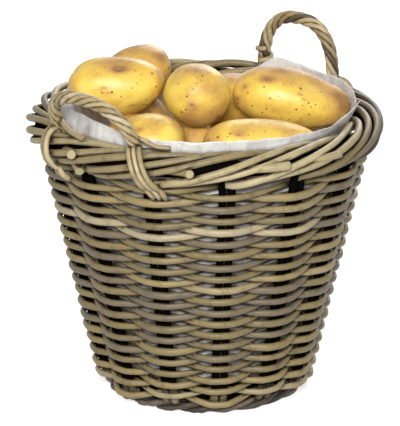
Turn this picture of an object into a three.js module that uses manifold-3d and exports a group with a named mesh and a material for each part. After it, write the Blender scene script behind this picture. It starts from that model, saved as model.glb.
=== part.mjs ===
// Potato basket: a tapered round basket woven from rattan rods, with a rolled border, two roped ear
// handles, a thin liner and a heap of potatoes. Millimetres, +Z up, the basket's axis on Z, +X towards
// the upright handle, the floor at Z = 0.
import * as THREE from "three";
import { mergeVertices } from "three/addons/utils/BufferGeometryUtils.js";
import Module from "manifold-3d";

const wasm = await Module();
wasm.setup();

const clearance = 0.3; // between any two pieces that touch

// Stakes
const stakePairs = 13; // odd, so that one weaver passes each pair on the other side in the next round
const firstStakeAngle = -137; // degrees
const rodDiameter = 8.6;
const rodSpacing = 9.2; // between the two rods of a pair
const wallRadius = 104; // from the axis to a pair, at the floor
const wallSlope = 0.227; // how much the wall leans out for each millimetre of height

// Weavers
const weaverHeight = 6.3;
const weaverThickness = 7.2;
const rowPitch = 6.75;
const weaverRods = 6;
const weaverRounds = 6.15; // rounds that each rod makes
const passHalfWidth = 6.5; // half the flat stretch in front of a pair
const buttGap = 1.2; // between the ends of two rods that meet behind a pair
const passSlack = 0.9; // how much further the weave bulges behind a pair than in front of one

// Border
const borderOverhang = 1.93; // how far the middle of the roll lies outside the line of the wall
const borderRise = 23.5; // from the top row of the weave to the middle of the roll
const borderWave = { at: 55, spread: 42, height: 7 }; // degrees, degrees, and how far the rim stands up there
const rollRadius = 14; // from the middle of the roll to a pair in it
const rollLength = 3.7; // stake spacings that a pair runs along the rim
const bendRoom = 1.5; // from the weave to the bend of a pair

// Foot
const footInset = 4; // from the line of the wall at the floor in to the middle of the foot
const footRodDiameter = 6.6;
const footRollRadius = 4.4;
const footTurns = 3; // turns that each rod makes about the others on its way round
const footWear = 0.5; // how flat the underside is worn
const footRods = 3;

// Base
const baseStickWidth = 6.4;
const baseSticksEachWay = 3;
const baseStickSpacing = 14;
const baseThickness = 5.4;
const baseRounds = 5;
const baseGroove = 1.6; // depth of the grooves between the rounds
const baseEdge = 2; // how far the edge of the rounds is rounded
const baseSegments = 20;

// Handles
const ropeRadius = 7.2;
const ropeStrands = 5;
const ropeGroove = 0.8; // radius in the grooves between the strands, against the rope's own
const ropeLay = 62; // length of one turn of the rope
const bowFullness = 0.8; // below 1 the bow is squarer than an ellipse
const strandDiameter = 4.4;
const lashStrands = 3;
const lashEnd = -64; // degrees round the border's roll
const handles = [
  { name: "back_handle", angle: -3.3, halfAngle: 15.9, height: 63, lean: 0, lash: 56, drift: [-6, 6] },
  { name: "front_handle", angle: 172, halfAngle: 18.7, height: 50, lean: 26, lash: 46, drift: [10, 12] },
];

// Liner
const linerThickness = 0.8;
const linerColumns = 36;
const linerCorner = [6, 9]; // inset and height of the corner at the floor
const linerLip = [12.3, 2.5]; // inset from the middle of the border, and height

// Potatoes
const potatoEnd = 0.42; // from a tip to its first ring, against the spacing of the rings
const potatoFullness = 0.92; // below 1 the ends are blunter than an egg's
const bendLevel = 0.4; // where a bent potato is level with a straight one

const materials = {
  stake: new THREE.MeshStandardMaterial({ color: 0x8d7b5c, roughness: 0.75, metalness: 0 }),
  weaver: new THREE.MeshStandardMaterial({ color: 0xa59470, roughness: 0.7, metalness: 0 }),
  foot: new THREE.MeshStandardMaterial({ color: 0x5d4c3c, roughness: 0.8, metalness: 0 }),
  rope: new THREE.MeshStandardMaterial({ color: 0xb5a582, roughness: 0.7, metalness: 0 }),
  liner: new THREE.MeshStandardMaterial({ color: 0xdcdce2, roughness: 0.5, metalness: 0 }),
  potato: new THREE.MeshStandardMaterial({ color: 0xe3c15c, roughness: 0.5, metalness: 0 }),
};

const basket = new THREE.Group();
const stakeSolids = [];

function addMesh(name, geometry, material, parent = basket) {
  const mesh = new THREE.Mesh(geometry, material);
  mesh.name = name;
  parent.add(mesh);
  return mesh;
}

const degrees = THREE.MathUtils.degToRad;
const up = new THREE.Vector3(0, 0, 1);
const outward = (angle) => new THREE.Vector3(Math.cos(angle), Math.sin(angle), 0);
const along = (angle) => new THREE.Vector3(-Math.sin(angle), Math.cos(angle), 0);
const polar = (angle, radius, z) => outward(angle).multiplyScalar(radius).setZ(z);
const smooth = (x) => THREE.MathUtils.smoothstep(x, 0, 1);
const stakePitch = (2 * Math.PI) / stakePairs;
const stakeAngle = (k) => degrees(firstStakeAngle) + k * stakePitch;
const stakeRadius = (z) => wallRadius + wallSlope * z;

// A closed solid through rings of points, each ring counterclockwise about the direction of travel.
function loft(rings, closed = false) {
  const sides = rings[0].length;
  const indices = [];
  const spans = closed ? rings.length : rings.length - 1;
  for (let i = 0; i < spans; i++) {
    const a = i * sides;
    const b = ((i + 1) % rings.length) * sides;
    for (let j = 0; j < sides; j++) {
      const k = (j + 1) % sides;
      indices.push(a + j, a + k, b + k, a + j, b + k, b + j);
    }
  }
  if (!closed) {
    const end = (rings.length - 1) * sides;
    for (let j = 1; j < sides - 1; j++) {
      indices.push(0, j + 1, j);
      indices.push(end, end + j, end + j + 1);
    }
  }
  const positions = rings.flat().flatMap((p) => p.toArray());
  const geometry = new THREE.BufferGeometry();
  geometry.setAttribute("position", new THREE.Float32BufferAttribute(positions, 3));
  geometry.setIndex(indices);
  return geometry;
}

// One ring of a rod: the section's points across it, with side as the section's first direction.
function ring(centre, travel, side, section) {
  const first = side.clone().addScaledVector(travel, -side.dot(travel)).normalize();
  const second = travel.clone().cross(first);
  return section.map(([p, q]) => centre.clone().addScaledVector(first, p).addScaledVector(second, q));
}

function travelAt(points, i, closed = false) {
  const n = points.length;
  const before = closed ? points[(i + n - 1) % n] : points[Math.max(i - 1, 0)];
  const after = closed ? points[(i + 1) % n] : points[Math.min(i + 1, n - 1)];
  return after.clone().sub(before).normalize();
}

// A many-sided section that just fills a width and a height, with its first corner in the first direction.
function roundSection(sides, width, height, turn = 0) {
  const corners = Array.from({ length: sides }, (_, i) => {
    const a = turn + (2 * Math.PI * i) / sides;
    return [Math.cos(a), Math.sin(a)];
  });
  const fit = (values, size) => {
    const low = Math.min(...values);
    const high = Math.max(...values);
    return values.map((v) => ((v - (low + high) / 2) * size) / (high - low));
  };
  const across = fit(corners.map((c) => c[0]), width);
  const upright = fit(corners.map((c) => c[1]), height);
  return across.map((p, i) => [p, upright[i]]);
}

// Several rods side by side, joined where they touch: a row of diamonds with waists between them.
function rodRowSection(count, spacing, diameter) {
  const half = diameter / 2;
  const waist = 0.36 * half;
  const tip = ((count - 1) * spacing) / 2 + half;
  const top = [];
  for (let i = 0; i < count; i++) {
    const x = ((count - 1) / 2 - i) * spacing;
    top.push([x, half]);
    if (i < count - 1) top.push([x - spacing / 2, waist]);
  }
  const bottom = top.map(([x, y]) => [-x, -y]);
  const outline = [[tip, 0], ...top, [-tip, 0], ...bottom];
  return [...outline.slice(2), ...outline.slice(0, 2)];
}

function toSolid(geometry) {
  const bare = geometry.clone();
  bare.deleteAttribute("normal");
  bare.deleteAttribute("uv");
  const merged = mergeVertices(bare, 1e-4);
  return new wasm.Manifold(
    new wasm.Mesh({
      numProp: 3,
      vertProperties: merged.getAttribute("position").array,
      triVerts: new Uint32Array(merged.index.array),
    }),
  );
}

function toGeometry(solid) {
  const mesh = solid.getMesh();
  const geometry = new THREE.BufferGeometry();
  geometry.setAttribute("position", new THREE.BufferAttribute(Float32Array.from(mesh.vertProperties), 3));
  geometry.setIndex(new THREE.BufferAttribute(Uint32Array.from(mesh.triVerts), 1));
  return geometry;
}

// Heights, from the floor up, and the radii that follow them
const footHeight = 2 * footRollRadius + footRodDiameter - footWear;
const weaveStart = footHeight + clearance + weaverHeight / 2;
const stepsPerRod = 2 * Math.round((weaverRounds * stakePairs) / 2);
const weaveEnd = weaveStart + (rowPitch * weaverRods * stepsPerRod) / stakePairs;
const borderHeight = weaveEnd + borderRise;
const borderOuter = Math.hypot(rollRadius, rodSpacing / 2) + rodDiameter / 2; // radius of the whole roll
const borderTop = borderHeight + borderOuter;
const borderRadius = stakeRadius(borderHeight) + borderOverhang;
const footRadius = wallRadius - footInset;

// A bell-shaped rise round the basket, from 1 at its middle towards 0.
function swellAt(angle, at, spread) {
  const away = THREE.MathUtils.euclideanModulo(THREE.MathUtils.radToDeg(angle) - at + 180, 360) - 180;
  return Math.exp(-((away / spread) ** 2));
}

const borderLift = (angle) => borderWave.height * swellAt(angle, borderWave.at, borderWave.spread);

// Foot: rods rolled round each other into a ring, worn flat underneath.
function buildFoot() {
  const middle = footRollRadius + footRodDiameter / 2 - footWear;
  const floor = new THREE.BoxGeometry(3 * footRadius, 3 * footRadius, 10).translate(0, 0, -5);
  const worn = toSolid(floor);
  const columns = 7 * footTurns;
  for (let rod = 0; rod < footRods; rod++) {
    const points = [];
    for (let i = 0; i < columns; i++) {
      const angle = (2 * Math.PI * i) / columns;
      const phase = -Math.PI / 2 + footTurns * angle + (2 * Math.PI * rod) / footRods;
      const radius = footRadius + footRollRadius * Math.cos(phase);
      points.push(polar(angle, radius, middle + footRollRadius * Math.sin(phase)));
    }
    const section = roundSection(5, footRodDiameter, footRodDiameter, Math.PI / 2);
    const rings = points.map((p, i) => {
      return ring(p, travelAt(points, i, true), outward((2 * Math.PI * i) / columns), section);
    });
    addMesh("foot_rod_" + (rod + 1), toGeometry(toSolid(loft(rings, true)).subtract(worn)), materials.foot);
  }
}

// Stakes: a pair stands in the wall, then bends over along the rim and climbs once round the roll.
function buildStakes() {
  const section = rodRowSection(2, rodSpacing, rodDiameter);
  const bendStart = weaveEnd + weaverHeight / 2 + bendRoom;
  const rollSteps = [0.06, 0.16, 0.32, 0.6, 1.05, 1.55, 2.1, 2.65, 3.2, rollLength];
  for (let k = 0; k < stakePairs; k++) {
    const angle = stakeAngle(k);
    const points = [footHeight + 2 * clearance, bendStart].map((z) => polar(angle, stakeRadius(z), z));
    const sides = [along(angle).negate(), along(angle).negate()];
    const start = new THREE.Vector2(stakeRadius(bendStart), bendStart);
    for (const step of rollSteps) {
      const phase = -Math.PI / 2 + (Math.PI / 2) * step;
      const at = angle + step * stakePitch;
      const rolled = new THREE.Vector2(
        borderRadius + rollRadius * Math.cos(phase),
        borderHeight + borderLift(at) + rollRadius * Math.sin(phase),
      );
      const place = start.clone().lerp(rolled, smooth(0.25 + step / 0.4));
      points.push(polar(at, place.x, place.y));
      const turned = smooth(step / 0.35);
      const acrossRoll = outward(at).multiplyScalar(-Math.sin(phase)).addScaledVector(up, Math.cos(phase));
      sides.push(along(at).multiplyScalar(turned - 1).addScaledVector(acrossRoll, turned));
    }
    const rings = points.map((p, i) => ring(p, travelAt(points, i), sides[i], section));
    const geometry = loft(rings);
    stakeSolids.push(toSolid(geometry));
    addMesh("stake_pair_" + String(k + 1).padStart(2, "0"), geometry, materials.stake);
  }
}

// Weavers: each rod winds up the wall, in front of one pair and behind the next.
const wallTilt = Math.atan(wallSlope);
const passFront = rodDiameter / 2 / Math.cos(wallTilt) + clearance + weaverThickness / 2;
const passBehind = passFront + passSlack;
const weaveInner = (z) => stakeRadius(z) - passBehind - weaverThickness / 2 - clearance;

function weaverPoints(from, to) {
  const points = [];
  for (let step = from; step <= to; step++) {
    const angle = stakeAngle(step);
    const z = weaveStart + (rowPitch * (step - 1)) / stakePairs;
    const inFront = step % 2 === 0;
    const radius = stakeRadius(z) + (inFront ? passFront : -passBehind);
    let offsets = inFront ? [-passHalfWidth, passHalfWidth] : [0];
    if (step === from) offsets = [buttGap / 2];
    if (step === to) offsets = [-buttGap / 2];
    for (const offset of offsets) {
      points.push(polar(angle, radius, z).addScaledVector(along(angle), offset));
    }
  }
  return points;
}

function buildWeavers() {
  const section = roundSection(5, weaverThickness, weaverHeight);
  for (let rod = 0; rod < weaverRods; rod++) {
    const from = 1 + rod * stepsPerRod;
    const points = weaverPoints(from, from + stepsPerRod);
    const rings = points.map((p, i) => {
      const before = p.clone().sub(points[Math.max(i - 1, 0)]).setZ(0).normalize();
      const after = points[Math.min(i + 1, points.length - 1)].clone().sub(p).setZ(0).normalize();
      const travel = before.clone().add(after).normalize();
      const side = travel.clone().cross(up);
      const mitre = 1 / Math.max(travel.dot(i ? before : after), 0.5);
      const lean = up.clone().addScaledVector(outward(Math.atan2(p.y, p.x)), wallSlope);
      return section.map(([a, b]) =>
        p
          .clone()
          .addScaledVector(side, a * mitre)
          .addScaledVector(lean, -b),
      );
    });
    addMesh("weaver_" + (rod + 1), loft(rings), materials.weaver);
  }
}

// Base: two layers of sticks pierced through each other at the middle, with rounds of weaving above.
const baseBottom = footHeight + clearance;
const baseTop = baseBottom + baseStickWidth + clearance + baseThickness;
const baseRadius = weaveInner(weaveStart) - clearance;

function buildBase() {
  let cross = null;
  for (let i = 0; i < baseSticksEachWay; i++) {
    const offset = (i - (baseSticksEachWay - 1) / 2) * baseStickSpacing;
    const length = 2 * Math.sqrt((baseRadius - 0.5) ** 2 - (Math.abs(offset) + baseStickWidth / 2) ** 2);
    for (const turn of [0, Math.PI / 2]) {
      const stick = new THREE.BoxGeometry(length, baseStickWidth, baseStickWidth);
      stick.translate(0, offset, baseBottom + baseStickWidth / 2);
      stick.rotateZ(turn);
      cross = cross ? cross.add(toSolid(stick)) : toSolid(stick);
    }
  }
  addMesh("base_sticks", toGeometry(cross.simplify(0.01)), materials.stake);

  const low = baseBottom + baseStickWidth + clearance;
  const profile = [new THREE.Vector2(0, low), new THREE.Vector2(baseRadius - baseEdge, low)];
  profile.push(new THREE.Vector2(baseRadius, low + baseThickness / 2));
  for (let i = 0; i < baseRounds; i++) {
    const radius = (baseRadius - baseEdge) * (1 - i / baseRounds);
    const groove = radius - baseRadius / baseRounds / 2;
    profile.push(new THREE.Vector2(radius, baseTop));
    profile.push(new THREE.Vector2(groove, baseTop - baseGroove));
  }
  profile.push(new THREE.Vector2(0, baseTop - baseGroove));
  const rounds = new THREE.LatheGeometry(profile, baseSegments).rotateX(Math.PI / 2);
  addMesh("base_rounds", rounds, materials.weaver);
}

// How far a solid can come down before it touches what is below it.
function dropOnto(solid, obstacles, height) {
  const coarseStep = 6;
  const touches = (z) => !solid.translate([0, 0, z]).intersect(obstacles).isEmpty();
  let free = height;
  while (free > 0 && !touches(free - coarseStep)) free -= coarseStep;
  let blocked = free - coarseStep;
  while (free - blocked > 0.02) {
    const middle = (free + blocked) / 2;
    if (touches(middle)) blocked = middle;
    else free = middle;
  }
  return free;
}

// Handles: a bow of twisted strands that stands on the border, and a flat lashing at each foot.
function ropeSection() {
  return Array.from({ length: 2 * ropeStrands }, (_, i) => {
    const a = (Math.PI * i) / ropeStrands;
    const radius = i % 2 ? ropeRadius : ropeGroove * ropeRadius;
    return [radius * Math.cos(a), radius * Math.sin(a)];
  });
}

function buildBow(handle) {
  const centre = degrees(handle.angle);
  const halfAngle = degrees(handle.halfAngle);
  const lean = degrees(handle.lean);
  const halfWidth = borderRadius * Math.sin(halfAngle);
  const across = along(centre);
  const rise = outward(centre).multiplyScalar(Math.sin(lean)).addScaledVector(up, Math.cos(lean));
  const facing = across.clone().cross(rise);
  const foot = polar(centre, borderRadius * Math.cos(halfAngle), borderTop);
  const bowSteps = 20;
  const points = [];
  for (let i = 0; i <= bowSteps; i++) {
    const turn = (Math.PI * i) / bowSteps;
    const reach = -Math.sign(Math.cos(turn)) * halfWidth * Math.abs(Math.cos(turn)) ** bowFullness;
    const climb = handle.height * Math.sin(turn) ** bowFullness;
    points.push(foot.clone().addScaledVector(across, reach).addScaledVector(rise, climb || 0));
  }
  let run = 0;
  const rings = points.map((p, i) => {
    run += i ? p.distanceTo(points[i - 1]) : 0;
    const travel = travelAt(points, i);
    const side = facing.clone().applyAxisAngle(travel, (-2 * Math.PI * run) / ropeLay);
    return ring(p, travel, side, ropeSection());
  });
  return loft(rings);
}

function buildLash(handle, end) {
  const section = rodRowSection(lashStrands, strandDiameter, strandDiameter);
  const reach = borderOuter + clearance + strandDiameter / 2;
  const steps = 5;
  const points = [];
  const sides = [];
  const drift = degrees(handle.drift[end]);
  const foot = degrees(handle.angle + (end ? 1 : -1) * handle.halfAngle);
  for (let i = 0; i <= steps; i++) {
    const phase = degrees(handle.lash + ((lashEnd - handle.lash) * i) / steps);
    const at = foot + (drift * i) / (steps + 1);
    const middle = borderHeight + borderLift(at);
    points.push(polar(at, borderRadius + reach * Math.cos(phase), middle + reach * Math.sin(phase)));
    sides.push(along(at));
  }
  const tuck = weaveEnd - rowPitch / 2;
  const wall = stakeRadius(tuck) + passFront + weaverThickness / 2 + clearance + strandDiameter / 2;
  points.push(polar(foot + drift, wall, tuck));
  sides.push(along(foot + drift));
  return loft(points.map((p, i) => ring(p, travelAt(points, i), sides[i], section)));
}

function buildHandles() {
  const border = stakeSolids.reduce((all, solid) => all.add(solid));
  for (const handle of handles) {
    const bow = toSolid(buildBow(handle));
    const above = 2 * ropeRadius + borderWave.height;
    const seat = dropOnto(bow, border, above) + clearance;
    addMesh(handle.name, toGeometry(bow), materials.rope).position.z = seat;
    addMesh(handle.name + "_lash_1", buildLash(handle, 0), materials.rope);
    addMesh(handle.name + "_lash_2", buildLash(handle, 1), materials.rope);
  }
}

// Liner: a thin sheet pressed into the basket, standing above the border where the heap holds it up.
const heapTurn = degrees(-55); // the heap's own rows, about the basket's axis
const linerFloor = baseTop + clearance;
const linerTops = [
  { at: 208, spread: 26, height: 17, lean: 2 },
  { at: 278, spread: 40, height: 8, lean: 1 },
  { at: 343, spread: 13, height: 17, lean: 7 },
  { at: 12, spread: 20, height: 3, lean: 6 },
  { at: 48, spread: 28, height: 11, lean: -4 },
];
const linerDip = { at: 103, spread: 24, depth: 14 }; // where its edge has slid back off the border

function buildLiner() {
  const angleOf = (i) => (2 * Math.PI * i) / linerColumns;
  const ringAt = (radius, z) =>
    Array.from({ length: linerColumns }, (_, i) => polar(angleOf(i), radius(angleOf(i)), z(angleOf(i))));
  const swell = (angle, key) =>
    linerTops.reduce((sum, top) => sum + top[key] * swellAt(angle - heapTurn, top.at, top.spread), 0);
  const neck = borderRadius - borderOuter - clearance;
  const wallTop = Math.min(weaveInner(weaveEnd) - clearance, neck);
  const [cornerInset, cornerRise] = linerCorner;
  const [lipInset, lipRise] = linerLip;
  const lipHeight = borderOuter - lipRise;
  const lipReach = Math.hypot(lipInset, lipHeight);
  const dip = (angle) => swellAt(angle - heapTurn, linerDip.at, linerDip.spread);
  const lipTurn = (angle) => THREE.MathUtils.lerp(Math.atan2(lipHeight, -lipInset), Math.PI, dip(angle));
  const lipRadius = (angle) => borderRadius + lipReach * Math.cos(lipTurn(angle));
  const lipZ = (angle) => borderHeight + borderLift(angle) + lipReach * Math.sin(lipTurn(angle));
  const rows = [
    { radius: () => weaveInner(linerFloor) - cornerInset, z: () => linerFloor },
    { radius: () => weaveInner(linerFloor + cornerRise) - clearance, z: () => linerFloor + cornerRise },
    { radius: () => wallTop, z: () => weaveEnd },
    {
      radius: () => neck,
      z: (angle) => borderHeight + borderLift(angle) + borderOuter / 4 - linerDip.depth * dip(angle),
    },
    { radius: lipRadius, z: lipZ },
    {
      radius: (angle) => lipRadius(angle) + swell(angle, "lean"),
      z: (angle) => lipZ(angle) + lipRise + swell(angle, "height"),
    },
  ];
  const outside = rows.map((row) => ringAt(row.radius, row.z));
  const inside = rows.map((row, i) => {
    const lift = i ? 0 : linerThickness;
    return ringAt(
      (angle) => row.radius(angle) - linerThickness,
      (angle) => row.z(angle) + lift,
    );
  });
  addMesh("liner", loft([...outside, ...inside.reverse()]), materials.liner);
}

// Potatoes: each is a rounded, slightly bent and tapered body, let down until it rests on what lies below.
function potatoGeometry({ size, taper = 0, bend = 0, sections = 6, sides = 9 }) {
  const [length, width, height] = size;
  const rings = [];
  for (let i = 0; i < sections; i++) {
    const turn = (Math.PI * (i + potatoEnd)) / (sections - 1 + 2 * potatoEnd);
    const x = -Math.cos(turn);
    const swell = Math.sin(turn) ** potatoFullness * (1 + taper * x);
    const lift = bend * (x * x - bendLevel);
    rings.push(
      Array.from({ length: sides }, (_, j) => {
        const a = (2 * Math.PI * (j + 0.5 * (i % 2))) / sides;
        return new THREE.Vector3(
          (x * length) / 2,
          (swell * width * Math.cos(a)) / 2,
          lift + (swell * height * Math.sin(a)) / 2,
        );
      }),
    );
  }
  return loft(rings);
}

const lowerRings = [
  { count: 4, radius: 58, start: 20, size: [80, 72, 90] },
  { count: 5, radius: 76, start: 60, size: [82, 74, 90] },
  { count: 1, radius: 0, start: 0, size: [70, 66, 116] },
];
const hiddenPotato = { taper: 0.04, sections: 5, sides: 7 };
const propPlan = [68, 64]; // length and width of a prop

// The upper potatoes, at x, y and a turn, with their right end tilted down. Most rest on a hidden one that
// stands on its end as high as the prop; the others lie in its layer.
const heap = [
  { name: "far_left", at: [-112, -52, 112], size: [70, 54, 54], taper: 0.05, bend: 2 },
  { name: "far_back", at: [0, 108, 6], size: [88, 62, 64], taper: 0.05, bend: 2 },
  { name: "far_right", at: [88, 68, -38], size: [88, 64, 64], taper: 0.05, bend: 2 },
  { name: "front_left", at: [-57, -92, -8], size: [78, 66, 62], taper: 0.05, bend: 2, prop: 108 },
  { name: "front_right", at: [60.5, -88, 12], tilt: 4, size: [132, 66, 64], taper: -0.12, bend: 3, prop: 88 },
  { name: "back_middle", at: [26, 58, 30], size: [80, 62, 60], taper: 0.05, bend: 2, prop: 101 },
  { name: "right", at: [92, -6, -4], tilt: 9, size: [129, 68, 65], taper: -0.1, bend: -3, prop: 116 },
  { name: "middle", at: [-9, -24, 108], size: [84, 71, 67], taper: -0.1, bend: 2, prop: 137 },
  { name: "left", at: [-93, 0, 3], size: [105, 66, 64], taper: -0.06, bend: 3, prop: 121 },
  { name: "back_left", at: [-72, 75, -6], tilt: -10, size: [76, 62, 60], taper: 0.1, bend: 2, prop: 114 },
];
const propInset = 0.87; // how much nearer the axis a hidden potato lies than the one on it
const propTurn = 70; // degrees between the two
const heapReach = 153; // radius of the basket's neck that the places of the potatoes are for

function buildPotatoes() {
  let obstacles = toSolid(basket.getObjectByName("liner").geometry);
  const fit = (borderRadius - borderOuter) / heapReach;
  const place = (name, shape, x, y, yaw) => {
    const mesh = addMesh(name, potatoGeometry(shape), materials.potato);
    const plan = new THREE.Vector2(x, y).rotateAround(new THREE.Vector2(), heapTurn).multiplyScalar(fit);
    mesh.position.set(plan.x, plan.y, 0);
    mesh.rotation.set(0, degrees(shape.tilt || 0), heapTurn + yaw, "ZYX");
    mesh.updateMatrix();
    const body = toSolid(mesh.geometry.clone().applyMatrix4(mesh.matrix));
    mesh.position.z = dropOnto(body, obstacles, 2 * borderTop) + clearance;
    obstacles = obstacles.add(body.translate([0, 0, mesh.position.z]));
  };
  let count = 0;
  const hide = (size, x, y, yaw) => {
    count += 1;
    place("potato_under_" + String(count).padStart(2, "0"), { ...hiddenPotato, size }, x, y, yaw);
  };
  for (const layer of lowerRings) {
    for (let i = 0; i < layer.count; i++) {
      const at = degrees(layer.start) + (2 * Math.PI * i) / layer.count;
      hide(layer.size, layer.radius * Math.cos(at), layer.radius * Math.sin(at), at + Math.PI / 2);
    }
  }
  for (const { at, prop } of heap) {
    const [x, y, yaw] = at;
    if (prop) hide([...propPlan, prop], propInset * x, propInset * y, degrees(yaw + propTurn));
  }
  for (const potato of heap) {
    const [x, y, yaw] = potato.at;
    place("potato_" + potato.name, potato, x, y, degrees(yaw));
  }
}

buildFoot();
buildStakes();
buildWeavers();
buildBase();
buildHandles();
buildLiner();
buildPotatoes();

export default basket;
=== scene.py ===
import math
import random

import bmesh
import bpy
from mathutils import Matrix, Vector, noise
from mathutils.bvhtree import BVHTree


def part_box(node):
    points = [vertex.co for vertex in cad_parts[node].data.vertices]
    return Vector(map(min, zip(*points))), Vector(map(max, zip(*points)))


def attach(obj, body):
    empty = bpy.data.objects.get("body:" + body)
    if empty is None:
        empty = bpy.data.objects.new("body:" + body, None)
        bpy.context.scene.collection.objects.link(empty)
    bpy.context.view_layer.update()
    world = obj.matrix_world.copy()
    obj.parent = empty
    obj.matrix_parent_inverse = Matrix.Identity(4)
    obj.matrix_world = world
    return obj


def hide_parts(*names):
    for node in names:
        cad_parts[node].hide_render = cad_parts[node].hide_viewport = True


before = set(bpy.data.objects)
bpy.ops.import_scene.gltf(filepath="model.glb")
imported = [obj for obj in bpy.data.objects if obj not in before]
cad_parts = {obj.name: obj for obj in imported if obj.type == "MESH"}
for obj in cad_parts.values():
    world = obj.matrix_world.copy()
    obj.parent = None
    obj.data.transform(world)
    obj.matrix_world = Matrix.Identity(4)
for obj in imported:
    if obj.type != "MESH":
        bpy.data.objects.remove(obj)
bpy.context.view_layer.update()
mm = 0.001
dice = random.Random(7)

# the basket's own plan, in millimetres, as in the CAD
basket = {
    "pairs": 13,
    "firstPair": math.radians(-137),
    "wallRadius": 104,
    "wallSlope": 0.227,
    "rodRadius": 4.2,
    "rodSpacing": 9.2,
    "weaveStart": 18.35,
    "rowPitch": 6.75,
    "rows": 480 / 13,
    "borderRadius": 172,
    "borderHeight": 291.08,
    "borderOuter": 19.04,
    "rollRadius": 14,
    "wave": (55, 42, 7),  # where the rim stands up, how wide, and how far
}
weaveEnd = basket["weaveStart"] + basket["rowPitch"] * basket["rows"]
borderTop = basket["borderHeight"] + basket["borderOuter"]
pairPitch = 2 * math.pi / basket["pairs"]
up = Vector((0, 0, 1))
heapTurn = math.radians(-55)  # the heap and the cut ends are laid out as seen from the front


def outward(angle):
    return Vector((math.cos(angle), math.sin(angle), 0))


def sideways(angle):
    return Vector((-math.sin(angle), math.cos(angle), 0))


def polar(angle, radius, z):
    return outward(angle) * radius + up * z


def ring(radius, z, count):
    return [polar(2 * math.pi * j / count, radius, z) for j in range(count)]


def pairAngle(step):
    return basket["firstPair"] + step * pairPitch


def wallAt(z):
    return basket["wallRadius"] + basket["wallSlope"] * z


def smooth(x):
    x = min(max(x, 0), 1)
    return x * x * (3 - 2 * x)


def mix(a, b, t):
    return a + (b - a) * t


def bell(x, spread):
    return math.exp(-((x / spread) ** 2))


def swellAt(angle, at, spread):
    return bell((math.degrees(angle) - at + 180) % 360 - 180, spread)


def borderLift(angle):
    at, spread, height = basket["wave"]
    return height * swellAt(angle, at, spread)


# a point about the border's roll: its distance from the roll's middle, and which way, with 0 straight out
def onRoll(angle, reach, turn, lift=0):
    return polar(angle, basket["borderRadius"] + reach * math.cos(turn),
                 basket["borderHeight"] + lift + reach * math.sin(turn))


def waver(seed, x, amount):
    return amount * noise.noise(Vector((x, seed * 7.3, 1.7)))


def srgb(red, green, blue):
    def linear(value):
        value /= 255
        return value / 12.92 if value < 0.04045 else ((value + 0.055) / 1.055) ** 2.4
    return (linear(red), linear(green), linear(blue), 1)


def addObject(name, data):
    item = bpy.data.objects.new(name, data)
    bpy.context.scene.collection.objects.link(item)
    return item


def meshFrom(form, name, material, smooth=True):
    for face in form.faces:
        face.smooth = smooth
    mesh = bpy.data.meshes.new(name)
    form.to_mesh(mesh)
    form.free()
    mesh.materials.append(material)
    return mesh


# short calls for the nodes used below
class Shader:
    def __init__(self, name, world=False):
        self.owner = (bpy.data.worlds if world else bpy.data.materials).new(name)
        self.owner.use_nodes = True
        self.nodes = self.owner.node_tree.nodes
        self.links = self.owner.node_tree.links
        self.skin = self.nodes["Background" if world else "Principled BSDF"]

    def add(self, kind, inputs=None, **settings):
        node = self.nodes.new(kind)
        for key, value in settings.items():
            setattr(node, key, value)
        self.fill(node, inputs or {})
        return node

    def fill(self, node, inputs):
        for key, value in inputs.items():
            self.put(node.inputs[key], value)

    def put(self, socket, value):
        if isinstance(value, bpy.types.NodeSocket):
            self.links.new(value, socket)
        else:
            socket.default_value = value

    def attribute(self, name, output="Fac"):
        return self.add("ShaderNodeAttribute", attribute_name=name).outputs[output]

    def place(self, scale=(1, 1, 1), source=None):
        vector = source or self.add("ShaderNodeTexCoord").outputs["Object"]
        return self.add("ShaderNodeMapping", {"Vector": vector, "Scale": scale}).outputs["Vector"]

    def noise(self, vector, scale, detail=3, roughness=0.5):
        inputs = {"Vector": vector, "Scale": scale, "Detail": detail, "Roughness": roughness}
        return self.add("ShaderNodeTexNoise", inputs).outputs["Fac"]

    def ramp(self, value, stops):
        node = self.add("ShaderNodeValToRGB", {"Fac": value})
        elements = node.color_ramp.elements
        while len(elements) < len(stops):
            elements.new(0.5)
        for element, (position, colour) in zip(elements, stops):
            element.position = position
            element.color = colour if len(colour) == 4 else (*colour, 1)
        return node.outputs["Color"]

    def math(self, operation, a, b):
        node = self.add("ShaderNodeMath", operation=operation)
        self.put(node.inputs[0], a)
        self.put(node.inputs[1], b)
        return node.outputs["Value"]

    def plus(self, a, b):
        return self.math("ADD", a, b)

    def minus(self, a, b):
        return self.math("SUBTRACT", a, b)

    def times(self, a, b):
        return self.math("MULTIPLY", a, b)

    def spread(self, value, low, high, toLow=0.0, toHigh=1.0):
        inputs = {"Value": value, "From Min": low, "From Max": high, "To Min": toLow, "To Max": toHigh}
        return self.add("ShaderNodeMapRange", inputs).outputs["Result"]

    # 1 for the rays that show the backdrop, also by way of metal and glass
    def backdropRays(self):
        rays = self.add("ShaderNodeLightPath").outputs
        seen = self.math("MAXIMUM", rays["Is Camera Ray"], rays["Is Glossy Ray"])
        return self.math("MAXIMUM", seen, rays["Is Transmission Ray"])

    def blend(self, amount, a, b, kind="MIX"):
        node = self.add("ShaderNodeMix", data_type="RGBA", blend_type=kind, clamp_factor=True)
        self.put(node.inputs[0], amount)
        self.put(node.inputs[6], a)
        self.put(node.inputs[7], b)
        return node.outputs[2]

    def bump(self, height, strength, distance):
        inputs = {"Height": height, "Strength": strength, "Distance": distance}
        return self.add("ShaderNodeBump", inputs).outputs["Normal"]


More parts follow.
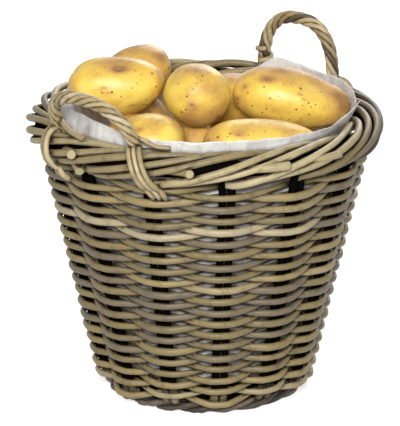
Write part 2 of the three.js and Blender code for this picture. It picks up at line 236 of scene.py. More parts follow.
# weathered cane: a shade for each rod, cloudy along it, fine streaks, dark knuckle rings, pale cut ends
cane = {
    "umber": srgb(86, 73, 54),
    "grey": srgb(113, 101, 80),
    "olive": srgb(124, 110, 73),
    "straw": srgb(144, 127, 86),
    "pale": srgb(176, 163, 132),
    "yellow": srgb(172, 150, 90),
    "shade": srgb(46, 36, 25),
    # painted shade: the colour that rods are multiplied by where they lie against other rods, as contact
    # shadow
    "grime": (0.08, 0.058, 0.038, 1),
    "black": srgb(12, 10, 8),
    "cutEnd": srgb(166, 152, 112),
    "cloudScale": (24, 40, 40),  # along a rod and across it, per metre
    "clouds": 0.22,
    "streakScale": (30, 800, 800),
    "streaks": [(0.36, (0.34, 0.3, 0.25)), (0.5, (1, 1, 1)), (0.64, (1.2, 1.18, 1.12))],
    "greying": [(0.42, (1, 1, 1)), (0.66, (0.86, 0.88, 0.96))],
    "patches": [(0.34, (1.06, 1.05, 1.0)), (0.52, (1, 1, 1)), (0.7, (0.5, 0.4, 0.3))],
    "ring": 0.03,  # reach of a knuckle's dark ring and of its swelling, in spacings
    "swelling": 0.08,
    "polish": 0.12,  # how much smoother bright streaks are than the rest
}


def caneMaterial(name, stops, knuckles=11.0, roughness=0.5, shine=0.4):
    mat = Shader(name)
    grain = mat.attribute("grain", "Vector")
    tone = mat.attribute("tone")
    clouds = mat.noise(mat.place(cane["cloudScale"], grain), 1, 3, 0.6)
    shade = mat.plus(tone, mat.spread(clouds, 0.3, 0.7, -cane["clouds"], cane["clouds"]))
    colour = mat.ramp(shade, stops)
    streaks = mat.noise(mat.place(cane["streakScale"], grain), 1, 5, 0.65)
    colour = mat.blend(0.9, colour, mat.ramp(streaks, cane["streaks"]), "MULTIPLY")
    greying = mat.noise(mat.place(), 34, 4, 0.6)
    colour = mat.blend(0.8, colour, mat.ramp(greying, cane["greying"]), "MULTIPLY")
    blotch = mat.noise(mat.place(), 80, 5, 0.7)
    colour = mat.blend(0.75, colour, mat.ramp(blotch, cane["patches"]), "MULTIPLY")

    run = mat.add("ShaderNodeSeparateXYZ", {"Vector": grain}).outputs["X"]
    offset = mat.plus(mat.times(run, knuckles), mat.times(tone, 7))
    cells = {"W": offset, "Scale": 1, "Randomness": 0.8}
    near = mat.add("ShaderNodeTexVoronoi", cells, voronoi_dimensions="1D").outputs["Distance"]
    ringShade = mat.spread(near, 0.01, cane["ring"], 1, 0)
    swell = mat.spread(near, 0.01, cane["swelling"], 1, 0)
    colour = mat.blend(mat.times(swell, 0.3), colour, cane["umber"])
    colour = mat.blend(mat.times(ringShade, 0.85), colour, cane["shade"])
    # painted shade: rods are darkened where they lie against other rods, as contact shadow
    contactShadeAmount = mat.times(mat.attribute("grime"), mat.spread(blotch, 0.3, 0.6, 0.75, 1.1))
    colour = mat.blend(contactShadeAmount, colour, cane["grime"], "MULTIPLY")
    # the dark attribute paints rods near black, as shade in most places where it is set
    colour = mat.blend(mat.attribute("dark"), colour, cane["black"])
    colour = mat.blend(mat.attribute("cut"), colour, cane["cutEnd"])
    rough = mat.spread(streaks, 0.2, 0.8, roughness + cane["polish"], roughness - cane["polish"])
    height = mat.plus(mat.times(streaks, 0.4), mat.times(swell, 0.8))
    height = mat.minus(height, mat.times(ringShade, 0.9))
    mat.fill(mat.skin, {
        "Base Color": colour,
        "Roughness": rough,
        "Specular IOR Level": shine,
        "Normal": mat.bump(height, 0.6, 0.0007),
    })
    return mat.owner


weaverCane = caneMaterial("weaverCane", [
    (0.0, cane["umber"]), (0.2, cane["grey"]), (0.42, cane["olive"]), (0.62, cane["straw"]),
    (0.8, cane["pale"]), (1.0, cane["yellow"]),
])
stakeCane = caneMaterial("stakeCane", [
    (0.0, cane["umber"]), (0.2, cane["olive"]), (0.5, srgb(141, 125, 88)), (0.8, srgb(170, 155, 117)),
    (1.0, srgb(200, 187, 150)),
], knuckles=9.0)
# painted shade: an unpolished, near-black copy of the cane for the faces painted as shadow
shadowCane = caneMaterial("shadowCane", [
    (0.0, cane["black"]), (1.0, srgb(20, 16, 12)),
], roughness=0.85, shine=0.0)
footCane = caneMaterial("footCane", [
    (0.0, srgb(38, 31, 26)), (0.5, srgb(72, 60, 49)), (1.0, srgb(116, 101, 84)),
], knuckles=20.0, roughness=0.62)
ropeCane = caneMaterial("ropeCane", [
    (0.0, srgb(124, 106, 74)), (0.5, srgb(166, 147, 106)), (1.0, srgb(198, 182, 146)),
], knuckles=8.0, roughness=0.46)


# washed yellow skin: tan patches, fine netting, dark specks and brown eyes; the tan also carries painted
# shade on the tops, ends and undersides
skin = {
    "cover": [
        (0.0, srgb(240, 211, 102)),
        (0.3, srgb(229, 192, 84)),
        (0.55, srgb(206, 164, 82)),
        (0.8, srgb(182, 140, 78)),
        (1.0, srgb(152, 113, 66)),
    ],
    "net": [(0.38, (0.84, 0.8, 0.72)), (0.55, (1, 1, 1))],
    "scars": [(0.6, (1, 1, 1)), (0.72, (0.8, 0.72, 0.6))],
    "flecks": ((95, 0.07, 0.14, 0.74), (210, 0.13, 0.27, 0.9)),  # per metre, least and most size, how rare
    "fleck": srgb(78, 46, 16),
    "eye": srgb(112, 66, 24),
}


def skinMaterial():
    mat = Shader("potatoSkin")
    spot = mat.place()
    russetAndShade = mat.attribute("russetAndShade")
    eye = mat.attribute("eye")
    freckles = mat.attribute("freckles")
    broad = mat.noise(spot, 24, 4, 0.6)
    fine = mat.noise(spot, 170, 5, 0.7)
    net = mat.noise(spot, 620, 4, 0.7)
    cover = mat.plus(russetAndShade, mat.times(mat.minus(broad, 0.5), 1.3))
    cover = mat.plus(cover, mat.times(mat.minus(fine, 0.5), 0.5))
    colour = mat.ramp(cover, skin["cover"])
    colour = mat.blend(0.55, colour, mat.ramp(net, skin["net"]), "MULTIPLY")
    wear = mat.noise(spot, 60, 3, 0.6)
    colour = mat.blend(0.6, colour, mat.ramp(wear, skin["scars"]), "MULTIPLY")
    for scale, least, most, rare in skin["flecks"]:
        cells = mat.add("ShaderNodeTexVoronoi", {"Vector": spot, "Scale": scale})
        picked = mat.add("ShaderNodeSeparateColor", {"Color": cells.outputs["Color"]})
        size = mat.spread(picked.outputs["Green"], 0.3, 1, least, most)
        near = mat.minus(cells.outputs["Distance"], size)
        chance = mat.plus(picked.outputs["Red"], mat.times(freckles, 0.5))
        chosen = mat.spread(chance, rare, rare + 0.04)
        fleck = mat.times(mat.spread(near, 0, 0.05, 1, 0), chosen)
        colour = mat.blend(mat.times(fleck, 0.9), colour, skin["fleck"])
    colour = mat.blend(eye, colour, skin["eye"])
    rough = mat.spread(cover, 0, 1, 0.34, 0.56)
    height = mat.plus(mat.times(fine, 0.6), mat.times(net, 0.35))
    height = mat.minus(height, mat.times(fleck, 0.9))
    mat.fill(mat.skin, {
        "Base Color": colour,
        "Roughness": rough,
        "Specular IOR Level": 0.42,
        "Subsurface Weight": 0.1,
        "Subsurface Scale": 0.003,
        "Normal": mat.bump(height, 0.4, 0.0008),
    })
    return mat.owner


# thin milky bag film, clouded and creased, with painted shade along the creases and painted light that makes
# it paler below the rim
film = {
    "clouds": [(0.3, srgb(188, 184, 181)), (0.5, srgb(214, 211, 208)), (0.75, srgb(226, 224, 221))],
    "creases": [(0.36, (0.74, 0.72, 0.7)), (0.5, (1, 1, 1))],
    "paintedLight": srgb(230, 229, 227),
    "paintedLightShare": 0.6,
    "paintedLightUnder": (0.25, 0.29),  # in metres: all of the share below the first, none above the second
}


def linerMaterial():
    mat = Shader("linerFilm")
    spot = mat.place()
    cloud = mat.noise(spot, 38, 5, 0.65)
    crease = mat.noise(mat.place((1, 1, 0.35)), 110, 4, 0.6)
    colour = mat.ramp(cloud, film["clouds"])
    # painted shade: the film is darkened in its creases, the hollows of the bump
    paintedCreaseShade = mat.ramp(crease, film["creases"])
    high = mat.add("ShaderNodeSeparateXYZ", {"Vector": spot}).outputs["Z"]
    # painted light: the film inside the wall is painted paler, standing in for light that the rods keep from
    # it
    paintedLightAmount = mat.spread(high, *film["paintedLightUnder"], film["paintedLightShare"], 0)
    colour = mat.blend(paintedLightAmount, colour, film["paintedLight"])
    mat.fill(mat.skin, {
        "Base Color": mat.blend(0.7, colour, paintedCreaseShade, "MULTIPLY"),
        "Roughness": mat.spread(cloud, 0.2, 0.8, 0.26, 0.46),
        "Normal": mat.bump(mat.plus(crease, cloud), 0.5, 0.003),
    })
    return mat.owner


potatoSkin = skinMaterial()
linerFilm = linerMaterial()
print("materials ready")


# one rod: its line in millimetres, how thick, which shade and how dark it is along its way; the darkness is
# painted shade in most places
def rod(points, radius, tone=0.5, closed=False, dark=None, cutEnd=False):
    count = len(points)
    return {
        "points": list(points),
        "radii": list(radius) if isinstance(radius, list) else [radius] * count,
        "tone": tone,
        "dark": list(dark) if isinstance(dark, list) else [dark or 0] * count,
        "closed": closed,
        "cutEnd": cutEnd,
    }


chamfer = {"length": 0.5, "share": 0.8}


# a small round-over at both ends, so that a cut end reads as sawn
def chamfered(item):
    if item["closed"]:
        return item
    points, radii, dark = item["points"], item["radii"], item["dark"]
    for end, at in ((0, 0), (-1, len(points) + 1)):
        step = (points[end] - points[1 if end == 0 else -2]).normalized()
        points.insert(at, points[end] + step * chamfer["length"])
        radii.insert(at, radii[end] * chamfer["share"])
        dark.insert(at, dark[end])
    return item


rodPieces = []


# joins rods into one piece; flat = (across, upright) squeezes their section, and the second material goes on
# the faces painted near black as shade
def bundle(name, rods, material, replaces, sides=10, flat=None, shadowMaterial=None):
    rods = [chamfered(item) for item in rods]
    curve = bpy.data.curves.new(name, "CURVE")
    curve.dimensions = "3D"
    curve.twist_mode = "Z_UP" if flat else "MINIMUM"
    sectionObject = None
    if flat:
        section = bpy.data.curves.new(name + "Section", "CURVE")
        spline = section.splines.new("POLY")
        spline.points.add(sides - 1)
        for i, point in enumerate(spline.points):
            turn = 2 * math.pi * i / sides
            point.co = (flat[0] * math.cos(turn) * mm, flat[1] * math.sin(turn) * mm, 0, 1)
        spline.use_cyclic_u = True
        sectionObject = addObject(name + "Section", section)
        curve.bevel_mode = "OBJECT"
        curve.bevel_object = sectionObject
    else:
        curve.bevel_depth = mm
        curve.bevel_resolution = sides // 2 - 2
    for item in rods:
        spline = curve.splines.new("POLY")
        spline.points.add(len(item["points"]) - 1)
        for point, place, radius in zip(spline.points, item["points"], item["radii"]):
            point.co = (*(place * mm), 1)
            point.radius = radius
        spline.use_cyclic_u = item["closed"]
    carrier = addObject(name + "Curve", curve)
    evaluated = carrier.evaluated_get(bpy.context.evaluated_depsgraph_get())
    mesh = bpy.data.meshes.new_from_object(evaluated)
    mesh.name = name
    bpy.data.objects.remove(carrier)
    if sectionObject:
        bpy.data.objects.remove(sectionObject)

    ringSize = len(mesh.vertices) // sum(len(item["points"]) for item in rods)
    grain = mesh.attributes.new("grain", "FLOAT_VECTOR", "POINT")
    tone = mesh.attributes.new("tone", "FLOAT", "POINT")
    dark = mesh.attributes.new("dark", "FLOAT", "POINT")
    cut = mesh.attributes.new("cut", "FLOAT", "POINT")
    vertex = 0
    for item in rods:
        run = dice.uniform(0, 5)
        points = item["points"]
        for i, place in enumerate(points):
            run += (place - points[i - 1]).length * mm if i else 0
            for j in range(ringSize):
                turn = 2 * math.pi * j / ringSize
                reach = item["radii"][i] * mm
                grain.data[vertex].vector = (run, reach * math.cos(turn), reach * math.sin(turn))
                tone.data[vertex].value = item["tone"]
                dark.data[vertex].value = item["dark"][i]
                cut.data[vertex].value = float(item["cutEnd"] and i == len(points) - 1)
                vertex += 1
    form = bmesh.new()
    form.from_mesh(mesh)
    rims = [edge for edge in form.edges if edge.is_boundary]
    bmesh.ops.holes_fill(form, edges=rims, sides=0)
    bmesh.ops.recalc_face_normals(form, faces=form.faces[:])
    darkness = form.verts.layers.float["dark"]
    for face in form.faces:
        face.smooth = len(face.verts) == 4
        # faces painted near black as shade take the second material
        allShaded = min(corner[darkness] for corner in face.verts) > 0.5
        face.material_index = int(bool(shadowMaterial) and allShaded)
    mesh.materials.clear()  # this sets the faces' numbers back, so it comes before they are written
    mesh.materials.append(material)
    if shadowMaterial:
        mesh.materials.append(shadowMaterial)
    form.to_mesh(mesh)
    form.free()
    rodPieces.append(addPiece(name, mesh, replaces, "basket"))
    return rodPieces[-1]


def addPiece(name, mesh, replaces, body):
    piece = addObject(name, mesh)
    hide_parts(replaces)
    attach(piece, body)
    return piece


# a smooth line through the given points
def curved(points, perSpan=4):
    line = []
    for i in range(len(points) - 1):
        p0, p1 = points[max(i - 1, 0)], points[i]
        p2, p3 = points[i + 1], points[min(i + 2, len(points) - 1)]
        for j in range(perSpan):
            t = j / perSpan
            line.append(0.5 * (
                2 * p1 + (p2 - p0) * t + (2 * p0 - 5 * p1 + 4 * p2 - p3) * t * t
                + (3 * p1 - p0 - 3 * p2 + p3) * t ** 3
            ))
    line.append(points[-1])
    return line


weave = {
    "rods": 6,
    "stepsPerRod": 80,
    "samples": 12,  # rings from one pair to the next
    "front": 8.4,  # how far a rod lies outside a pair's line, and inside it
    "behind": 9.2,
    "flat": 9,  # half the straight stretch before a pair
    "rounding": 4.2,
    "roundingShares": ((-1, 1), (-0.6, 2), (-0.25, 3), (0, 3), (0.25, 3), (0.6, 2), (1, 1)),
    "section": (0.86, 1.0),
    "stray": (0.7, 1.5, 0.16),  # how far a rod strays outward, upward and in thickness
    "dip": 0.17,  # how much lower than inside a rod runs outside, per millimetre
    "footDip": 0.4,  # the same for the lowest round, which zigzags over the foot
    "footLift": 1.2,
    "footSteps": 12,
    "radius": (3.5, 3.85),  # at the foot and at the top
    # painted shade: how dark a rod is painted where it runs behind a pair
    "insideShade": 0.5,
    "shadeSteps": (7, 9, 11, 13, 15, 19),  # pairs that one shade of cane runs past
    "shortest": 6,
    "shades": (0.14, 0.24, 0.31, 0.37, 0.42, 0.47, 0.52, 0.6, 0.74),
    "leastShade": 0.18,
    "lowestShades": (0.6, 1.02),
    "lowest": 0.16,  # the share of the wall that has them
    "darker": (0.12, 0.5, 0.2),  # how much darker the wall is round its middle, where, and how wide
}


# how far the weave lies from a pair's line: outside at even steps and inside at odd ones
def passOffset(step, pitchLength):
    def straight(s):
        away = abs((s + 1) % 2 - 1) * pitchLength
        run = (away - weave["flat"]) / (pitchLength - 2 * weave["flat"])
        return mix(weave["front"], -weave["behind"], min(max(run, 0), 1))
    reach = weave["rounding"] / pitchLength
    shares = weave["roundingShares"]
    whole = sum(share for at, share in shares)
    return sum(straight(step + reach * at) * share for at, share in shares) / whole


def weaverRod(first, last, seed, tone, thickness):
    points, radii, dark = [], [], []
    samples = weave["samples"]
    strayOut, strayUp, strayThick = weave["stray"]
    for i in range((last - first) * samples + 1):
        step = first + i / samples
        z = basket["weaveStart"] + basket["rowPitch"] * (step - 1) / basket["pairs"]
        offset = passOffset(step, wallAt(z) * pairPitch)
        radius = wallAt(z) + offset + waver(seed, step * 0.8, strayOut)
        high = max((z - basket["weaveStart"]) / (weaveEnd - basket["weaveStart"]), 0)
        footShare = smooth((1 - step) / weave["footSteps"])
        z += waver(seed + 40, step * 0.55, strayUp) + weave["footLift"] * footShare
        z -= offset * mix(weave["dip"], weave["footDip"], smooth(1 - step))
        points.append(polar(pairAngle(step), radius, z))
        radii.append(mix(*weave["radius"], high) * thickness * (1 + waver(seed + 80, step / 5, strayThick)))
        # painted shade: darker where the rod passes inside the wall, behind a pair
        dark.append(weave["insideShade"] * smooth((-2 - offset) / 7))
    return rod(points, radii, tone, dark=dark)


for number in range(weave["rods"]):
    first = 1 + number * weave["stepsPerRod"]
    last = first + weave["stepsPerRod"]
    pieces = []
    at = first - (0 if number else weave["footSteps"])
    while at < last:
        end = at + dice.choice(weave["shadeSteps"])
        end = last if last - end < weave["shortest"] else end
        end += (end - at) % 2
        height = max(at - 1, 0) / (weave["rods"] * weave["stepsPerRod"])
        tone = dice.choice(weave["shades"]) + dice.uniform(-0.05, 0.05)
        if height < weave["lowest"]:
            tone = mix(dice.uniform(*weave["lowestShades"]), tone, smooth(height / weave["lowest"]))
        darker, middle, width = weave["darker"]
        tone = max(tone - darker * bell(height - middle, width), weave["leastShade"])
        thickness = 1 + dice.uniform(-0.07, 0.08)
        pieces.append(weaverRod(at, end, dice.random(), tone, thickness))
        at = end
    bundle("weaverRods%d" % (number + 1), pieces, weaverCane,
           "weaver_%d" % (number + 1), sides=14, flat=weave["section"])
print("weave ready")


# a pair of stakes: up the wall, over to one side, and once round the border's roll
border = {
    "heights": (15.5, 22, 100, 190, 250),  # points of a stake's line below its bend
    "footInward": 7,
    "bend": 272.2,
    "bendLength": 6,
    "steps": (0.06, 0.15, 0.3, 0.55, 1, 1.45, 1.9, 2.35, 2.8, 3.25, 3.7),
    "perSpan": 6,
    "footDark": (24, 0.35),  # up to this height, and how dark
    # painted shade: the stakes are painted near black in the wall, fading out above the bend, though the same
    # rods are cane above
    "wallShade": (274, 289, 0.95),
    "waver": 3.4,
    "thicknessWaver": 0.16,
    "shades": (0.05, 0.88),
    "rimShare": 0.9,  # how thick a rod is on the rim, against its stake
    "packing": 8.6,  # the crossed rod ends inside the roll, painted near black as shade between the outer rods
    "tails": [  # cut ends: degrees round the heap, degrees up the roll, aim (0 out, 1 along), radius
        (224, 14, 0.15, 5.2), (226.3, -41, 0.25, 4.9), (265.4, 3, 0, 4.6), (297, 12, 1, 4.6),
        (317, 14, 1, 4.2), (33, -20, 1, 4.2), (66, 12, 0, 4.5), (97, -8, 0.8, 4.2), (128, 10, 0.2, 4.4),
        (131, -26, 1, 4.1),
    ],
    "tailDepth": (6, 20),  # from inside the roll to its cut end
    "tailBack": (7, 13),  # how far back it starts, in degrees, with aim 0 and with aim 1
    "tailShades": (0.3, 0.8),
}
bendPoint = border["perSpan"] * (len(border["heights"]) + 1)


def pairRods(k):
    angle = pairAngle(k)
    centres, sides = [], []
    bend = border["bend"]
    for i, z in enumerate((*border["heights"], bend - border["bendLength"], bend)):
        centres.append(polar(angle, wallAt(z) - (0 if i else border["footInward"]), z))
        sides.append(-sideways(angle))
    for step in border["steps"]:
        phase = -math.pi / 2 + math.pi / 2 * step
        at = angle + step * pairPitch
        radius = basket["borderRadius"] + basket["rollRadius"] * math.cos(phase)
        z = basket["borderHeight"] + borderLift(at) + basket["rollRadius"] * math.sin(phase)
        share = smooth(0.25 + step / 0.4)
        centres.append(polar(at, mix(wallAt(bend), radius, share), mix(bend, z, share)))
        turned = smooth(step / 0.35)
        across = outward(at) * -math.sin(phase) + up * math.cos(phase)
        sides.append(sideways(at) * (turned - 1) + across * turned)
    lines = []
    for hand in (-1, 1):
        line = [c + s.normalized() * hand * basket["rodSpacing"] / 2 for c, s in zip(centres, sides)]
        lines.append(curved(line, border["perSpan"]))
    return lines


for k in range(basket["pairs"]):
    rods = []
    footTop, footDark = border["footDark"]
    low, high, wallShade = border["wallShade"]
    for hand, line in enumerate(pairRods(k)):
        seed = k * 2 + hand + 0.5
        points, radii, dark = [], [], []
        for i, p in enumerate(line):
            past = i - bendPoint
            thickness = basket["rodRadius"] * mix(1, border["rimShare"], smooth((past + 2) / 6))
            radii.append(thickness * (1 + waver(seed, i * 0.06, border["thicknessWaver"])))
            # painted shade: near black below the bend, where the weave shades the stakes
            shade = wallShade * (1 - smooth((p.z - low) / (high - low))) if past < 4 else 0
            dark.append(footDark if p.z < footTop else shade)
            loose = border["waver"] * smooth(past / 6)
            p = p + outward(math.atan2(p.y, p.x)) * waver(seed + 9, i * 0.07, loose)
            points.append(p + up * waver(seed + 19, i * 0.07, loose))
        rods.append(rod(points, radii, dice.uniform(*border["shades"]), dark=dark, cutEnd=True))
    for heapAngle, roll, aim, radius in border["tails"]:  # earlier rods come out beside this pair
        at = math.radians(heapAngle) + heapTurn
        if round((at - basket["firstPair"]) / pairPitch) % basket["pairs"] != k:
            continue
        tail = []
        straightBack, alongBack = border["tailBack"]
        for share in (0, 0.4, 0.75, 1):
            depth = mix(*border["tailDepth"], share if aim < 0.5 else math.sqrt(share))
            back = mix(straightBack * (1 - share) ** 2, alongBack * (1 - share), aim)
            tail.append(onRoll(at - math.radians(back), depth, math.radians(roll), borderLift(at)))
        rods.append(rod(curved(tail, 3), radius, dice.uniform(*border["tailShades"]), cutEnd=True))
    around = [pairAngle(k + (i - 4) / 8) for i in range(9)]
    packed = [onRoll(at, 0, 0, borderLift(at)) for at in around]
    # painted shade: a near-black rod that fills the roll, seen as shadow between the outer rods
    rods.append(rod(packed, border["packing"], 0, dark=0.9))
    bundle("stakePair%d" % (k + 1), rods, stakeCane, "stake_pair_%02d" % (k + 1),
           sides=14, shadowMaterial=shadowCane)
print("stakes and border ready")


# the foot: dark rods rolled round each other, with a core that closes the gaps between them and is painted
# near black as shade
foot = {
    "radius": 100, "rodRadius": 3.7, "rollRadius": 4.1, "rods": 3, "turns": 7, "points": 260,
    "wear": 0.5, "lumps": 0.45, "thickness": 0.95, "core": 4.4, "shades": (0.15, 0.5, 0.85),
}
middle = foot["rollRadius"] + foot["rodRadius"] - foot["wear"]
for number, tone in enumerate(foot["shades"]):
    line, radii = [], []
    for i in range(foot["points"]):
        angle = 2 * math.pi * i / foot["points"]
        phase = -math.pi / 2 + foot["turns"] * angle + 2 * math.pi * number / foot["rods"]
        line.append(polar(angle, foot["radius"] + foot["rollRadius"] * math.cos(phase),
                          middle + foot["rollRadius"] * math.sin(phase)))
        lump = waver(number + 3, 20 * math.sin(angle), foot["lumps"])
        radii.append(foot["rodRadius"] * (foot["thickness"] + lump))
    rods = [rod(line, radii, tone, closed=True)]
    if number == 0:
        core = ring(foot["radius"], middle + 1, foot["points"])
        # painted shade: the core is near black, as shadow in the gaps of the foot
        rods.append(rod(core, foot["core"], 0.0, closed=True, dark=0.8))
    piece = bundle("footRod%d" % (number + 1), rods, footCane, "foot_rod_%d" % (number + 1))
    for vertex in piece.data.vertices:
        vertex.co.z = max(vertex.co.z, 0)
    piece.data.update()

base = {
    "stickRadius": 3.1, "sticks": 3, "spacing": 14, "low": 15.3, "reach": 91, "stickShades": (0, 0.6),
    "rounds": 14, "firstRound": 6, "roundSpacing": 6.1, "roundRadius": 2.9, "roundRise": 1.3,
    "roundShades": (0, 0.7), "points": 96,
    "edges": ((96.8, 16.2), (94, 12.6), (91.5, 18.2), (91.5, 24)),  # rods bound on, painted dark as shade: radius and height
    "edgeRadius": 3.2,
}
sticks = []
for turn in (0, 1):
    for i in range(base["sticks"]):
        offset = (i - 1) * base["spacing"]
        half = math.sqrt(base["reach"] ** 2 - offset ** 2)
        line = []
        for share in range(13):
            p = Vector((mix(-half, half, share / 12), offset, 0))
            p = Vector((-p.y, p.x, 0)) if turn else p
            line.append(p + up * (base["low"] + base["stickRadius"] + (0.8 if turn else -0.1)))
        sticks.append(rod(line, base["stickRadius"], dice.uniform(*base["stickShades"]), dark=0.35))
bundle("baseSticks", sticks, stakeCane, "base_sticks")

rounds = []
height = base["low"] + 2 * base["stickRadius"] + base["roundRadius"] - 0.4
for i in range(base["rounds"]):
    line = []
    for j in range(base["points"]):
        angle = 2 * math.pi * j / base["points"]
        rise = base["roundRise"] * math.cos(6 * angle + math.pi * i)
        line.append(polar(angle, base["firstRound"] + i * base["roundSpacing"], height + rise))
    rounds.append(rod(line, base["roundRadius"], dice.uniform(*base["roundShades"]), closed=True))
for radius, z in base["edges"]:
    # painted shade: the edge rods are painted dark so that the gap above the foot reads as shadow
    rounds.append(rod(ring(radius, z, base["points"]), base["edgeRadius"], 0.2, closed=True, dark=0.6))
bundle("baseRounds", rounds, weaverCane, "base_rounds", sides=8, shadowMaterial=shadowCane)
print("foot and base ready")


# handles: a twisted rope bow that stands on the border, and a lashing at each foot
rope = {
    "strands": 5,
    "strandRadius": 2.95,
    "strandWaver": 0.16,
    "layRadius": 4.35,
    "lay": 62,
    "core": 2.6,
    "points": 72,
    "tuck": 12,
    "fullness": 0.8,
    "topShare": 0.93,  # of a strand's radius, at the top of a bow
    "shades": (0.25, 1.0),
    "collar": (7.6, 1.1, 2.4, 3.1),  # distance from the leg, turns, first angle and thickness
    "trailRadius": 2.9,
    "trailShades": (0.3, 0.8),
}
handles = [
    {
        "node": "back_handle", "angle": -3.3, "halfAngle": 15.9, "height": 63, "lean": 0,
        "drift": (-6, 6), "strands": (1, 2), "collars": ((5, 24),), "trails": (),
    },
    {
        "node": "front_handle", "angle": 172, "halfAngle": 18.7, "height": 50, "lean": 26,
        "drift": (5, 8.5), "strands": (2, 3), "collars": (),
        "trails": ((0.1, 17, 15), (0.3, 19, 17), (-0.25, 22, 12)),
    },
]


# the middle line of a bow, and the direction that it faces
def bowLine(handle, seat):
    centre, halfAngle, lean = (math.radians(handle[key]) for key in ("angle", "halfAngle", "lean"))
    across = sideways(centre)
    rise = outward(centre) * math.sin(lean) + up * math.cos(lean)
    footPoint = polar(centre, basket["borderRadius"] * math.cos(halfAngle), borderTop + seat)
    halfWidth = basket["borderRadius"] * math.sin(halfAngle)
    line = []
    for i in range(rope["points"] + 1):
        turn = math.pi * i / rope["points"]
        reach = -math.copysign(abs(math.cos(turn)) ** rope["fullness"], math.cos(turn)) * halfWidth
        climb = handle["height"] * max(math.sin(turn), 0) ** rope["fullness"]
        line.append(footPoint + across * reach + rise * climb)
    below = [line[0] - up * rope["tuck"] * (1 - i / 4) for i in range(4)]
    above = [line[-1] - up * rope["tuck"] * (i + 1) / 4 for i in range(4)]
    return below + line + above, across.cross(rise)


# a strand wound round a line, once in each lay
def wound(line, facing, reach, lay, start):
    strand = []
    run = 0
    for i, point in enumerate(line):
        run += (point - line[i - 1]).length if i else 0
        travel = (line[min(i + 1, len(line) - 1)] - line[max(i - 1, 0)]).normalized()
        side = (facing - travel * facing.dot(travel)).normalized()
        strand.append(point + Matrix.Rotation(start - 2 * math.pi * run / lay, 3, travel) @ side * reach)
    return strand


for handle in handles:
    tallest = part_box(handle["node"])[1].z / mm
    rise = handle["height"] * math.cos(math.radians(handle["lean"]))
    top = borderTop + rise + rope["layRadius"] + rope["strandRadius"] * rope["topShare"]
    line, facing = bowLine(handle, tallest - top)
    strands = []
    for number in range(rope["strands"]):
        strand = wound(line, facing, rope["layRadius"], rope["lay"], 2 * math.pi * number / rope["strands"])
        swells = [1 + waver(number + 5, i * 0.11, rope["strandWaver"]) for i in range(len(strand))]
        radii = [rope["strandRadius"] * swell for swell in swells]
        strands.append(rod(strand, radii, dice.uniform(*rope["shades"])))
    # painted shade: the dark core shows as shadow in the grooves between strands
    strands.append(rod(line, rope["core"], 0.1, dark=0.6))
    for low, high in handle["collars"]:  # a strand wrapped once round the left leg
        leg = [p for p in line[-24:] if low < p.z - borderTop < high]
        leg = curved([leg[0], leg[len(leg) // 2], leg[-1]], 10)
        length = sum((b - a).length for a, b in zip(leg, leg[1:]))
        reach, turns, start, radius = rope["collar"]
        strands.append(rod(wound(leg, facing, reach, -length / turns, start), radius, 0.6))
    for lift, reach, sweep in handle["trails"]:  # strands that leave a foot and run on along the border
        start = line[4] if lift > 0 else line[-5]
        angle = math.atan2(start.y, start.x)
        trail = []
        for i in range(9):
            share = i / 8
            roll = math.radians(mix(90, 90 - 60 * lift, share))
            depth = basket["borderOuter"] + mix(reach * 0.5, 2.2, smooth(share * 1.4))
            trail.append(onRoll(angle + math.radians(sweep * share), depth, roll))
        strands.append(rod(curved(trail, 4), rope["trailRadius"], dice.uniform(*rope["trailShades"])))
    name = handle["node"].replace("_handle", "Handle")
    bundle(name, strands, ropeCane, handle["node"], sides=8)

lash = {
    "spacing": 6.3,
    "radius": 3.0,
    "start": 84,  # degrees up the roll where a strand begins and where it leaves the roll
    "end": -64,
    "out": 21.8,
    "waver": 0.8,
    "fan": (0.95, 1.15),
    "tuckBelow": 3.4,
    "wallOut": 14.6,
    "shades": (0.35, 0.85),
}
for handle in handles:
    for end in (0, 1):
        drift = math.radians(handle["drift"][end])
        footAngle = math.radians(handle["angle"] + (1 if end else -1) * handle["halfAngle"])
        strands = []
        count = handle["strands"][end]
        for number in range(count):
            shift = (number - (count - 1) / 2) * lash["spacing"]
            line = []
            for i in range(25):
                share = i / 24
                phase = math.radians(mix(lash["start"] - 5 * number, lash["end"], share))
                at = footAngle + drift * share * 5 / 6
                reach = lash["out"] + waver(number + end * 3, share * 4, lash["waver"])
                spot = onRoll(at, reach, phase, borderLift(at))
                line.append(spot + sideways(at) * shift * mix(*lash["fan"], share))
            tuck = weaveEnd - lash["tuckBelow"]
            last = footAngle + drift
            wall = wallAt(tuck) + lash["wallOut"]
            line.append(polar(last, wall, tuck) + sideways(last) * shift * 1.1)
            line.append(polar(last, wall - 9, tuck - 6) + sideways(last) * shift)
            strands.append(rod(curved(line, 2), lash["radius"], dice.uniform(*lash["shades"])))
        name = handle["node"].replace("_handle", "Lash") + str(end + 1)
        bundle(name, strands, ropeCane, "%s_lash_%d" % (handle["node"], end + 1), sides=8)
print("handles ready")


# painted shade: rods are darkened where they lie against each other, as contact shadow
paintedShade = {"reach": 3.4, "nearest": 0.95, "strength": 1.25}


def paintContactShade(pieces):
    corners, faces = [], []
    for piece in pieces:
        start = len(corners)
        corners += [vertex.co.copy() for vertex in piece.data.vertices]
        faces += [[start + corner for corner in face.vertices] for face in piece.data.polygons]
    tree = BVHTree.FromPolygons(corners, faces)
    reach = paintedShade["reach"] * mm
    near = reach * paintedShade["nearest"]
    for piece in pieces:
        # painted contact shade: darker as another rod's surface comes nearer
        grime = piece.data.attributes.new("grime", "FLOAT", "POINT")
        for vertex, entry in zip(piece.data.vertices, grime.data):
            distance = tree.find_nearest(vertex.co + vertex.normal * reach, near)[3]
            if distance is not None:
                entry.value = smooth(paintedShade["strength"] * (1 - distance / near))


paintContactShade(rodPieces)
print("dirt ready")


